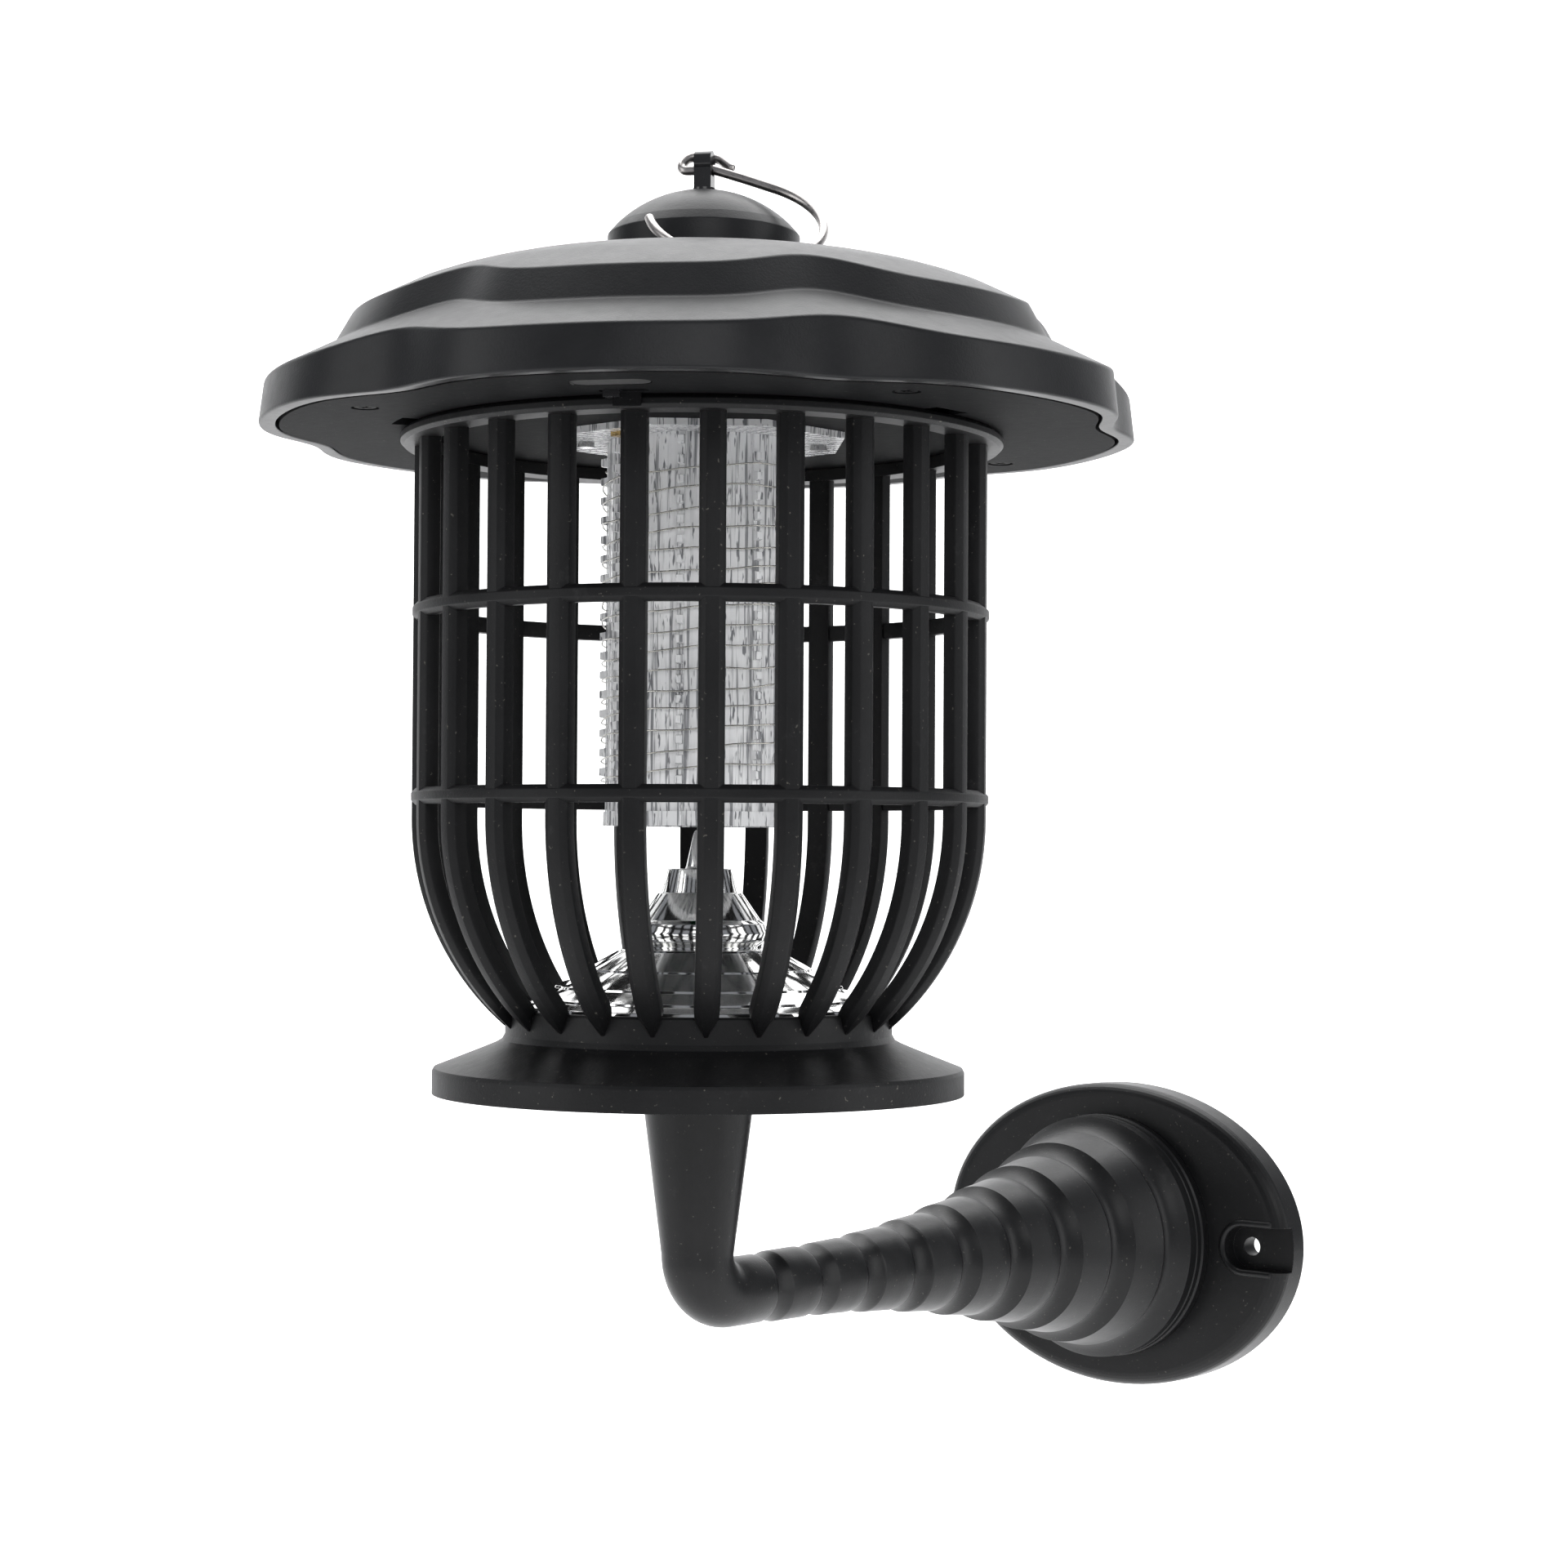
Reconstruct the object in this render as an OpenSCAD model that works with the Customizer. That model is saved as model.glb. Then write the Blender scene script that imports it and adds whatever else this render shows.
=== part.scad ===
// Solar insect-zapper lantern on a wall bracket.
// Origin: centre of the wall plate's back face. The wall is the plane y = 0 and the lantern stands
// at y = -reach. Z is up. Angles about the lantern's axis start at -Y and grow towards +X.

/* [Wall bracket] */
// Distance from the wall to the lantern's axis
reach = 210; // [206:1:216]
// Width of the oval wall plate
plate_w = 136; // [134:0.5:140]
// Height of the oval wall plate
plate_h = 98.8; // [98:0.2:102]
// Thickness of the wall plate
plate_t = 11.5; // [11:0.5:13]
// Distance between the two wall screws
wall_screw_span = 105; // [103:0.5:107]
// Radius of each wall screw hole
wall_screw_r = 3; // [2.5:0.1:3.2]
// Radius of the arm where it leaves the elbow
arm_r = 9.8; // [9.4:0.1:10.2]
// Radius of the arm at its wide end
trumpet_r = 39; // [38:0.1:40]
// Number of stacked rings along the arm
trumpet_steps = 9; // [7:1:11]
// Height from the arm's axis to the underside of the base
lantern_z = 57.5; // [57:0.5:62]

/* [Base] */
// Radius of the base flange
flange_r = 74.8; // [74:0.2:76]
// Radius of the collar that carries the bars
collar_r = 54.5; // [54.3:0.1:54.7]
// Height of the collar's top edge
collar_h = 23.8; // [23.5:0.1:24.2]
// Radius of the bracket's spigot
spigot_r = 11; // [10.5:0.1:11.2]

/* [Cage] */
// Outer radius of the cage
cage_r = 81; // [80.6:0.1:81.4]
// Number of bars
bar_count = 24; // [24:12:24]
// Width of each bar
bar_w = 6.4; // [5.6:0.1:6.8]
// Radial depth of each bar
bar_d = 5.2; // [4.8:0.1:5.4]
// Height where the bars begin to curve in
curve_z = 77; // [76.5:0.1:77.5]
// Height of the lower hoop's underside
hoop_low_z = 80.4; // [79:0.1:84]
// Height of the upper hoop's underside
hoop_high_z = 132.2; // [128:0.1:136]
// Height of each hoop
hoop_h = 4.7; // [4.2:0.1:5]

/* [Roof] */
// Height of the roof's lower edge
roof_z = 185; // [185:0.1:185.4]
// Radius of the roof's rim at the middle of a lobe
rim_lobe_r = 124.2; // [124:0.1:124.8]
// Radius of the roof's rim at a valley between lobes
rim_valley_r = 116.6; // [116.4:0.1:117]
// Half width of a valley, in degrees
valley_w = 10; // [9:0.5:11]
// Height of the dome's crest if it ran on to the axis
dome_top = 232.6; // [232.4:0.1:233]
// Fall of the dome from its crest to the tier's edge
dome_drop = 16.8; // [16.4:0.1:17.2]

/* [Light column] */
// Outer radius of the clear tube
tube_r = 26.6; // [26.4:0.1:26.8]
// Height of the tube's lower end
tube_z = 74.9; // [74.5:0.1:76]
// Height between neighbouring grid wires
wire_pitch = 5.5; // [5.4:0.1:5.6]
// Number of wire combs around the tube
comb_count = 8; // [8:4:8]

/* [Hook] */
// Radius of the hook's wire
wire_r = 1.35; // [1.1:0.05:1.35]
// Radius of the hook's round bend
hook_bend_r = 24.3; // [24:0.1:24.6]

/* [Hidden] */
$fn = 96;

plastic = [0.12, 0.12, 0.125];
steel = [0.75, 0.75, 0.76];
brass = [0.78, 0.62, 0.30];
clear = [0.86, 0.90, 0.95, 0.45];
board_green = [0.05, 0.30, 0.16];

// Lobes and valleys of the roof: valleys lie at multiples of 60 degrees
lobes = 6;
cols = 120;
function off_valley(a) = min(a % 60, 60 - a % 60);
function valley(a) = exp(-pow(off_valley(a) / valley_w, 2));
function lobed(lobe, val, a) = lobe - (lobe - val) * valley(a);
function dir(a) = [sin(a), -cos(a)];
function lobed_outline(lobe, val) = [for (k = [0 : cols - 1])
    let (a = k * 360 / cols) lobed(lobe, val, a) * dir(a)];

// Surfaces of the roof
dome_power = 3.6;
function dome_z(r) = dome_top - dome_drop * pow(r / tier_lobe, dome_power);
eave_r = 105;
eave_z = 206;
eave_slope = 0.52;
function eave_height(r) = eave_z + eave_slope * (eave_r - r);
eave_valley = 96.6;
tier_lobe = 99;
tier_valley = 90.5;
shell = 2.6;
band_inset = 4.7;
rim_top_in = 1.5;
ledge_z = roof_z + 5;
insert_top = roof_z + 15;
well_r = 49.2;
well_z = 222.8;
seat_z = 225;
seat_r = 27.6;
hub_hole_r = 4.2;

// Base and cage
wall = 2.6;
rim_h = 7.6;
cove_z = 15.5;
floor_z = 18;
floor_t = 2.4;
socket_z = 2.3;
socket_top = 34;
fit = 0.08;
bend_r = cage_r - 3.3;
ring_z = roof_z - 3.7;
ring_top = roof_z - 0.2;
ring_r = 85;
lugs = 3;
lug_angle = -12.5;
slot_angle = -28.5;
twist = 16;

// Column and head fittings
cover_t = 3;
cover_lobe = rim_lobe_r - band_inset - 1;
cover_valley = rim_valley_r - band_inset - 0.6;
screw_ring_r = 103.5;
screw_angle = 73;
flange_in = 39;
flange_t = 1.8;
tube_in = 24.2;
tooth_r = 29.3;
foot_h = 4;
comb_angle = 31;
comb_in = tube_r + 0.02;
comb_low = tube_z + foot_h + 0.05;
comb_high = roof_z - flange_t - 0.05;
grid_r = 28.1;
grid_low = 82;
grid_turns = 8.5;
grid_wire_r = 0.35;
controls_angle = 30;
port_r = 103.2;
switch_r = 89.5;

// Hook and eyelet. The view angle turns the hook's own frame about the lantern's axis
view_angle = 43;
eyelet_angle = 120;
eye_z = 261.2;
eye_hole_r = 1.9;
finial_r = 27.3;
finial_edge_z = 242.6;
finial_crease_r = 24.8;
finial_dome_r = 35.4;
finial_top = 255.1;

// Wall bracket
elbow_r = 12;
trumpet_end = 182;
trumpet_start = 20;
trumpet_power = 2.12;
first_crest = 180;
last_crest = 21.2;
crest_lip = 0.35;
arm_wall = 3;
arm_screw_r = 23;
post_low_r = 10.2;
post_high_r = 16.2;

module at_lantern() {
    translate([0, -reach, lantern_z]) children();
}

module around(angle, radius) {
    rotate([0, 0, angle]) translate([0, -radius, 0]) children();
}

// Turns a piece drawn along +Z so that it points from the wall towards the lantern
module off_wall() {
    rotate([90, 0, 0]) children();
}

module bore(r, h) {
    translate([0, 0, -0.5]) cylinder(r = r, h = h + 1);
}

module stadium(length, width) {
    square([length - width, width], center = true);
    for (s = [-1, 1])
        translate([s * (length - width) / 2, 0]) circle(d = width, $fn = 48);
}

module box(size) {
    translate([-size[0] / 2, -size[1] / 2, 0]) cube(size);
}

function unit(v) = v / norm(v);
function heading(path, k) =
    unit(path[min(k + 1, len(path) - 1)] - path[max(k - 1, 0)]);
function square_to(v, t) = unit(v - (v * t) * t);

// A wire of radius r swept along a path of points
module tube(path, r, sides = 8, up = [0, 0, 1]) {
    n = len(path);
    ups = [for (k = 0, u = square_to(up, heading(path, 0)); k < n;
        k = k + 1, u = k < n ? square_to(u, heading(path, k)) : u) u];
    points = [for (k = [0 : n - 1], s = [0 : sides - 1])
        let (a = 360 * s / sides)
        path[k] + r * (cos(a) * ups[k] + sin(a) * cross(heading(path, k), ups[k]))];
    polyhedron(points = points, faces = concat([[for (s = [0 : sides - 1]) s]],
        [for (k = [0 : n - 2], s = [0 : sides - 1]) let (s2 = (s + 1) % sides)
            [k * sides + s, (k + 1) * sides + s, (k + 1) * sides + s2, k * sides + s2]],
        [[for (s = [sides - 1 : -1 : 0]) (n - 1) * sides + s]]));
}

// ---- Wall bracket ----

module wall_plate() {
    notch_r = 7;
    notch_floor = 6;
    rim = plate_h / 2;
    color(plastic) off_wall() difference() {
        scale([plate_w / plate_h, 1, 1]) rotate_extrude() polygon(concat([[0, -1], [rim, -1]],
            [for (k = [0 : 6]) [rim - 4 + 4 * cos(15 * k), plate_t - 4 + 4 * sin(15 * k)]],
            [[0, plate_t]]));
        translate([0, 0, -2]) box([plate_w + 2, plate_h + 2, 2]);
        for (s = [-1, 1]) translate([s * wall_screw_span / 2, 0, 0]) {
            bore(wall_screw_r, plate_t);
            translate([0, 0, notch_floor]) cylinder(r = notch_r, h = plate_t);
            translate([s > 0 ? 0 : -20, -notch_r, notch_floor]) cube([20, 2 * notch_r, plate_t]);
        }
        for (a = [45 : 90 : 315]) rotate([0, 0, a]) translate([arm_screw_r, 0, 0]) {
            bore(2.1, plate_t);
            bore(3.9, plate_t - 3.5);
        }
    }
}

function trumpet_at(w) = arm_r + (trumpet_r - arm_r)
    * pow((trumpet_end - w) / (trumpet_end - trumpet_start), trumpet_power);

// Outline of the stacked rings, from the elbow end to the wall end: each plain band starts at a
// crest and ends in a hollow that rises to the next crest
function ring_outline() = [for (k = [0 : trumpet_steps - 2])
    let (pitch = (first_crest - last_crest) / (trumpet_steps - 1), w = first_crest - k * pitch,
        r = trumpet_at(w) + crest_lip, rise = trumpet_at(w - pitch) + crest_lip - r)
    each [[r, w], [r + 0.35 * rise, w - 0.62 * pitch], [r + 0.35 * rise - 0.6, w - 0.68 * pitch],
        [r + 0.42 * rise - 0.3, w - 0.8 * pitch], [r + 0.66 * rise, w - 0.92 * pitch]]];

module bracket_arm() {
    base_r = trumpet_r + 0.6;
    post_top = 2;
    hollow_end = 130;
    color(plastic) {
        difference() {
            union() {
                off_wall() rotate_extrude() polygon(concat(
                    [[0, reach - elbow_r], [arm_r, reach - elbow_r], [arm_r, first_crest + 7],
                        [arm_r - 0.5, first_crest + 5.5], [arm_r - 0.2, first_crest + 1.5]],
                    ring_outline(), [[trumpet_at(last_crest) + crest_lip, last_crest],
                        [base_r, 14.3], [base_r, plate_t], [0, plate_t]]));
                translate([0, elbow_r - reach, elbow_r]) rotate([0, 90, 180])
                    rotate_extrude(angle = 90) translate([elbow_r, 0]) circle(r = arm_r);
                translate([0, -reach, elbow_r])
                    cylinder(r1 = post_low_r, r2 = post_high_r, h = lantern_z + post_top - elbow_r);
                translate([0, -reach, lantern_z]) cylinder(r = spigot_r, h = socket_top - 2);
            }
            off_wall() rotate_extrude() polygon(concat([[0, plate_t - 1],
                [base_r - arm_wall, plate_t - 1], [base_r - arm_wall, trumpet_start]],
                [for (w = [trumpet_start + 10 : 12 : hollow_end])
                    [trumpet_at(w) - arm_wall, w]],
                [[0, hollow_end]]));
        }
        off_wall() for (a = [45 : 90 : 315])
            rotate([0, 0, a]) translate([arm_screw_r, 0, plate_t]) difference() {
                cylinder(r = 4.2, h = 40);
                bore(1.55, 14);
            }
    }
}

module arm_screws() {
    color(steel) off_wall() for (a = [45 : 90 : 315])
        rotate([0, 0, a]) translate([arm_screw_r, 0, 0]) {
            translate([0, 0, plate_t - 5.4]) cylinder(r = 3.4, h = 2.4);
            translate([0, 0, plate_t - 3.2]) cylinder(r = 1.5, h = 15);
        }
}

// ---- Base and reflector ----

module base() {
    color(plastic) at_lantern() difference() {
        union() {
            rotate_extrude() polygon([[flange_r - wall, 0], [flange_r, 0],
                [flange_r, rim_h - 1.4], [flange_r - 0.5, rim_h - 0.4], [flange_r - 1.6, rim_h],
                [62, 12], [57.4, 13.9], [55.4, 15], [collar_r, 16.6], [collar_r, collar_h - 0.6],
                [collar_r - 0.6, collar_h], [collar_r - 3, collar_h],
                [collar_r - 3, floor_z + floor_t], [spigot_r + 2.8, floor_z + floor_t],
                [spigot_r + 2.8, socket_top + 2], [0, socket_top + 2], [0, socket_top],
                [spigot_r + fit, socket_top], [spigot_r + fit, socket_z],
                [spigot_r + 2.8, socket_z], [spigot_r + 2.8, floor_z], [51, floor_z],
                [53, 13.6], [56, 11.6], [flange_r - wall, 5.4]]);
            for (k = [0 : 5])
                rotate([0, 0, 60 * k])
                    translate([spigot_r + 2.4, -1, 8]) cube([38, 2, floor_z - 7.5]);
        }
        for (k = [0 : 2]) around(60 + 120 * k, 41) {
            translate([0, 0, floor_z]) bore(1.7, floor_t);
        }
        for (k = [0 : 5]) around(60 * k, 24) translate([0, 0, floor_z]) bore(2.5, floor_t);
    }
}

// Outline of the reflector from its tip down, outside then inside
reflector_out = [[0, 74], [1.1, 73.6], [1.6, 72.6], [3.9, 63.4], [4.4, 62.9], [9.1, 62.9],
    [10.6, 57.2], [10.6, 56.2], [12.1, 55.9], [17.3, 48.3], [18.4, 45.6], [17.6, 43.2],
    [16.2, 42.2], [22.9, 40.4], [23.2, 39.2], [31.7, 35], [32, 33.8], [40.4, 30.2],
    [40.7, 29], [46.4, 26.8], [46.7, 25.6], [50.8, 24.6], [50.8, 20.4]];
reflector_in = [[49.2, 20.4], [49.2, 23.2], [44.5, 24.8], [39, 27.2], [30, 31.6], [22, 36],
    [15.6, 39.4], [15.4, 45.2], [10.4, 52.6], [8.6, 56], [7.6, 61], [0, 61]];

module reflector_cone() {
    color(steel) at_lantern() {
        rotate_extrude() polygon(concat(reflector_out, reflector_in));
        for (k = [0 : 2]) around(60 + 120 * k, 41) difference() {
            translate([0, 0, floor_z + floor_t]) cylinder(r = 3, h = 5);
            translate([0, 0, floor_z + floor_t - 0.5]) cylinder(r = 1.15, h = 5);
        }
    }
}

module reflector_screws() {
    color(steel) at_lantern() for (k = [0 : 2]) around(60 + 120 * k, 41) {
        translate([0, 0, floor_z - 1.8]) cylinder(r = 2.6, h = 1.8);
        translate([0, 0, floor_z - 0.2]) cylinder(r = 1.1, h = floor_t + 4);
    }
}

// ---- Cage ----

// Curved lower part of a bar, in a plane through the axis
module bow_profile() {
    out_end = acos((collar_r - 3.3) / bend_r);
    in_end = acos((collar_r - 3.3) / (bend_r - bar_d));
    steps = 8;
    polygon(concat(
        [for (k = [0 : steps]) let (a = out_end * k / steps)
            [3.3 + bend_r * cos(a), curve_z - bend_r * sin(a)]],
        [for (k = [steps : -1 : 0]) let (a = in_end * k / steps)
            [3.3 + (bend_r - bar_d) * cos(a), curve_z - (bend_r - bar_d) * sin(a)]]));
}

module each_bar() {
    for (k = [0 : bar_count - 1]) rotate([0, 0, 360 / bar_count * k]) children();
}

module bar_slice() {
    translate([-bar_w / 2, -cage_r - 5, 0]) cube([bar_w, cage_r, 200]);
}

module cage_bars() {
    color(plastic) at_lantern() each_bar() intersection() {
        translate([0, 0, curve_z]) rotate_extrude()
            translate([cage_r - bar_d, 0]) square([bar_d, ring_z - curve_z]);
        bar_slice();
    }
}

module cage_lower_bars() {
    color(plastic) at_lantern() each_bar() intersection() {
        rotate_extrude() bow_profile();
        bar_slice();
    }
}

module hoop(z) {
    difference() {
        translate([0, 0, z]) rotate_extrude()
            translate([cage_r - 4.3, 0]) square([4.7, hoop_h]);
        each_bar() bar_slice();
    }
}

module cage_hoop_lower() {
    color(plastic) at_lantern() hoop(hoop_low_z);
}

module cage_hoop_upper() {
    color(plastic) at_lantern() hoop(hoop_high_z);
}

// A block of an upright ring between two radii and two angles
module arc_block(r1, r2, z, h, from, to) {
    rotate([0, 0, from - 90]) translate([0, 0, z]) rotate_extrude(angle = to - from)
        translate([r1, 0]) square([r2 - r1, h]);
}

module cage_top_ring() {
    color(plastic) at_lantern() {
        rotate_extrude() polygon([[75.8, ring_z], [84, ring_z], [ring_r, ring_z + 1],
            [ring_r, ring_top - 1], [84, ring_top], [75.8, ring_top]]);
        for (k = [0 : lugs - 1]) {
            a = lug_angle + k * 360 / lugs;
            arc_block(79.2, 82, ring_top - 0.5, 4.3, a - 3, a + 3);
            arc_block(79.2, 86.4, ring_top + 3.6, 1.8, a - 3, a + 3);
        }
    }
}

// ---- Roof ----

// Closed outline of the roof at angle a, as [radius, height] pairs: over the top and back inside
function roof_ring(a) =
    let (tier = lobed(tier_lobe, tier_valley, a),
        foot = lobed(eave_r, eave_valley, a),
        lip = lobed(rim_lobe_r - rim_top_in, rim_valley_r - rim_top_in, a),
        rim = lobed(rim_lobe_r, rim_valley_r, a),
        band = rim - band_inset + 0.4 * valley(a))
    concat([[hub_hole_r, seat_z], [seat_r, seat_z], [seat_r, well_z], [well_r, well_z],
        [well_r, dome_z(well_r) - 0.6], [well_r + 0.8, dome_z(well_r + 0.8)]],
        [for (k = [1 : 7]) let (r = well_r + (tier - 1 - well_r) * k / 7) [r, dome_z(r)]],
        [[tier, dome_z(tier) - 1], [foot - 0.8, eave_height(foot) + 0.8],
        [foot + 0.8, eave_height(foot + 0.8)], [lip - 1.2, eave_height(lip - 1.2)],
        [lip, eave_height(lip) - 1], [rim, roof_z + 1.2], [rim - 1.2, roof_z],
        [band, roof_z], [band, ledge_z], [band - 4.4, ledge_z],
        [band - 4.4, insert_top - 2], [111, insert_top], [92, insert_top],
        [tier - shell - 4, eave_height(foot) - 4], [tier - shell - 2, dome_z(tier) - shell - 3],
        [75, dome_z(75) - shell], [well_r + 8, dome_z(well_r + 8) - shell], [well_r + 2, well_z - shell],
        [hub_hole_r, well_z - shell]]);

module roof_shell() {
    rings = [for (k = [0 : cols - 1]) let (a = k * 360 / cols)
        [for (p = roof_ring(a)) [p[0] * dir(a)[0], p[0] * dir(a)[1], p[1]]]];
    n = len(rings[0]);
    color(plastic) at_lantern() polyhedron(points = [for (r = rings) each r],
        faces = [for (k = [0 : cols - 1], j = [0 : n - 1])
            let (k2 = (k + 1) % cols, j2 = (j + 1) % n)
            each [[k * n + j, k * n + j2, k2 * n + j2], [k * n + j, k2 * n + j2, k2 * n + j]]]);
}

module at_controls(radius) {
    around(controls_angle, radius) children();
}

module under_cover() {
    color(plastic) at_lantern() difference() {
        union() {
            translate([0, 0, roof_z]) linear_extrude(cover_t)
                polygon(lobed_outline(cover_lobe, cover_valley));
            arc_block(85.4, 86.9, roof_z - 3.4, 4, controls_angle - 2.4, controls_angle + 2.4);
            for (k = [0 : 3]) around(45 + 90 * k, 33) translate([0, 0, roof_z + cover_t - 0.5])
                cylinder(r = 3.2, h = 6);
        }
        translate([0, 0, roof_z]) bore(tube_in - 0.6, cover_t);
        for (k = [0 : 3]) around(screw_angle + 90 * k, screw_ring_r) {
            translate([0, 0, roof_z]) bore(1.7, cover_t);
            translate([0, 0, roof_z - 0.5]) cylinder(r = 3.8, h = 2.3);
        }
        for (k = [0 : 3]) around(45 + 90 * k, 33)
            translate([0, 0, roof_z - 0.5]) cylinder(r = 1.3, h = 7.5);
        for (k = [0 : lugs - 1]) {
            narrow = lug_angle + k * 360 / lugs;
            wide = slot_angle + k * 360 / lugs;
            arc_block(78.8, 82.4, roof_z - 1, cover_t + 2, wide, narrow + 3.6);
            arc_block(78.4, 88.4, roof_z - 1.5, cover_t + 3, wide - 4.4, wide + 4.4);
        }
        at_controls(port_r) {
            translate([0, 0, roof_z - 0.5]) linear_extrude(2.1) stadium(21.4, 9);
            translate([0, 0, roof_z - 0.5]) linear_extrude(4) stadium(9.6, 3.8);
        }
        at_controls(switch_r) translate([0, 0, roof_z - 0.5]) linear_extrude(4)
            stadium(13.2, 4.2);
    }
}

module cover_seal() {
    color([0.05, 0.05, 0.05]) at_lantern() translate([0, 0, roof_z + cover_t])
        linear_extrude(ledge_z - roof_z - cover_t) difference() {
            polygon(lobed_outline(cover_lobe - 0.2, cover_valley - 0.2));
            polygon(lobed_outline(cover_lobe - 2.6, cover_valley - 2.6));
        }
}

module cover_screws() {
    color(steel) at_lantern() for (k = [0 : 3]) around(screw_angle + 90 * k, screw_ring_r) {
        difference() {
            translate([0, 0, roof_z + 0.2]) cylinder(r = 3, h = 1.6);
            translate([0, 0, roof_z]) box([3.6, 0.7, 1]);
            translate([0, 0, roof_z]) box([0.7, 3.6, 1]);
        }
        translate([0, 0, roof_z + 1.6]) cylinder(r = 1.45, h = 10);
    }
}

module threaded_inserts() {
    color(brass) at_lantern() for (k = [0 : 3]) around(screw_angle + 90 * k, screw_ring_r)
        translate([0, 0, roof_z + cover_t]) difference() {
            cylinder(r = 3.6, h = insert_top - roof_z - cover_t);
            translate([0, 0, -0.5]) cylinder(r = 1.5, h = 10);
        }
}

// ---- Finial, eyelet and hook ----

module finial() {
    centre = finial_top - finial_dome_r;
    edge = asin(finial_crease_r / finial_dome_r);
    flat = asin(4.6 / finial_dome_r);
    color(plastic) at_lantern() difference() {
        union() {
            rotate_extrude() polygon(concat([[finial_r - 2.4, seat_z], [finial_r, seat_z],
                [finial_r, finial_edge_z - 0.9], [finial_r - 0.4, finial_edge_z - 0.1]],
                [for (k = [0 : 10]) let (a = edge + (flat - edge) * k / 10)
                    [finial_dome_r * sin(a), centre + finial_dome_r * cos(a)]],
                [[0, finial_top], [0, finial_top - 3]],
                [for (k = [0 : 5]) let (a = 40 * k / 5)
                    [(finial_dome_r - 3) * sin(a), centre + (finial_dome_r - 3) * cos(a)]],
                [[finial_r - 2.4, finial_edge_z - 3]]));
            translate([0, 0, seat_z]) cylinder(r = 6, h = finial_top - seat_z - 1.6);
        }
        translate([0, 0, seat_z]) bore(2.6, finial_top - seat_z);
        around(180, finial_r) translate([0, 0, seat_z - 0.5]) box([9, 8, 2]);
    }
}

module hook_eyelet() {
    thick = 4.9;
    color([0.05, 0.05, 0.05]) at_lantern() {
        rotate([0, 0, eyelet_angle]) rotate([90, 0, 0]) translate([0, 0, -thick / 2])
            linear_extrude(thick) difference() {
                union() {
                    translate([0, eye_z + 2.2]) circle(r = 3.2);
                    translate([-2.6, finial_top]) square([5.2, eye_z - finial_top + 1]);
                }
                translate([0, eye_z]) circle(r = eye_hole_r);
            }
        translate([0, 0, finial_top]) cylinder(r = 3.2, h = 0.8);
        translate([0, 0, well_z - 12]) cylinder(r = 2.5, h = finial_top - well_z + 12.2);
    }
}

module eyelet_washer() {
    color(steel) at_lantern() translate([0, 0, well_z - shell - 1.2]) difference() {
        cylinder(r = 8, h = 1.2);
        bore(2.6, 1.2);
    }
}

module eyelet_nut() {
    color(steel) at_lantern() translate([0, 0, well_z - shell - 5.4]) difference() {
        cylinder(r = 4.6, h = 4.2, $fn = 6);
        bore(2.55, 4.2);
    }
}

// Points of the hook's eye as [along the hole's axis, behind it, height], from the cut end
eye_path = [[7.3, 2.6, 261.9], [5.4, 3.5, 263.4], [3.4, 4.4, 264.9], [0.3, 4.75, 265.8],
    [-3.6, 4, 265.9], [-5.3, 3.3, 265.4], [-6.4, 2.3, 264.2], [-6.8, 1.2, 262.7],
    [-6.2, 0.4, 261.6], [-4.8, 0, 261.2]];
hook_start = 2.4;
hook_roll = 6.9;
hook_tilt = 38.3;
hook_centre = [8.8, 29.3];
hook_from = -69.3;
hook_sweep = 235.8;
hole_dir = [sin(eyelet_angle - view_angle), -cos(eyelet_angle - view_angle), 0];
behind_dir = [cos(eyelet_angle - view_angle), sin(eyelet_angle - view_angle), 0];

// A point of the hook's round bend, in its own tilted plane
function bend_point(u, v) = hook_start * hole_dir + [0, 0, eye_z]
    + u * [cos(hook_roll), 0, -sin(hook_roll)]
    + v * [-sin(hook_tilt) * sin(hook_roll), -cos(hook_tilt), -sin(hook_tilt) * cos(hook_roll)];

module hanging_hook() {
    along = [for (p = eye_path) p[0] * hole_dir + p[1] * behind_dir + [0, 0, p[2]]];
    lead = [hook_centre[0] + hook_bend_r * cos(hook_from),
        hook_centre[1] + hook_bend_r * sin(hook_from)];
    steps = 30;
    bend = [for (k = [0 : steps]) let (a = hook_from + hook_sweep * k / steps)
        bend_point(hook_centre[0] + hook_bend_r * cos(a), hook_centre[1] + hook_bend_r * sin(a))];
    color(steel) at_lantern() rotate([0, 0, view_angle]) {
        tube(concat(along, [[0, 0, eye_z] - 2.4 * hole_dir, [0, 0, eye_z] + 1.9 * hole_dir,
            bend_point(0.6, 0.15), bend_point(lead[0] * 0.5, lead[1] * 0.46)], bend), wire_r, 12);
    }
}

module solar_panel() {
    color([0.05, 0.07, 0.20]) at_lantern() {
        translate([0, 0, well_z]) difference() {
            cylinder(r = well_r - 0.3, h = seat_z - well_z);
            bore(seat_r + 0.3, seat_z - well_z);
        }
        around(180, 26) translate([0, 0, seat_z]) box([8, 10, 1.1]);
    }
}

// ---- Parts inside the head ----

shelf_z = roof_z + cover_t;
battery_y = -56;
battery_r = 9.2;
battery_l = 65;
board_y = 56;
board_z = shelf_z + 7;

module battery_holder() {
    color([0.08, 0.08, 0.08]) at_lantern() translate([0, battery_y, shelf_z]) difference() {
        box([77, 22, 13]);
        translate([0, 0, 1.6]) box([battery_l + 6.6, 18.8, 13]);
    }
}

module battery_cell() {
    color([0.10, 0.30, 0.62]) at_lantern()
        translate([-battery_l / 2, battery_y, shelf_z + 1.6 + battery_r + 0.1]) rotate([0, 90, 0]) {
            cylinder(r = battery_r, h = battery_l);
            translate([0, 0, battery_l]) cylinder(r = 2.6, h = 1.2);
        }
}

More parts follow.
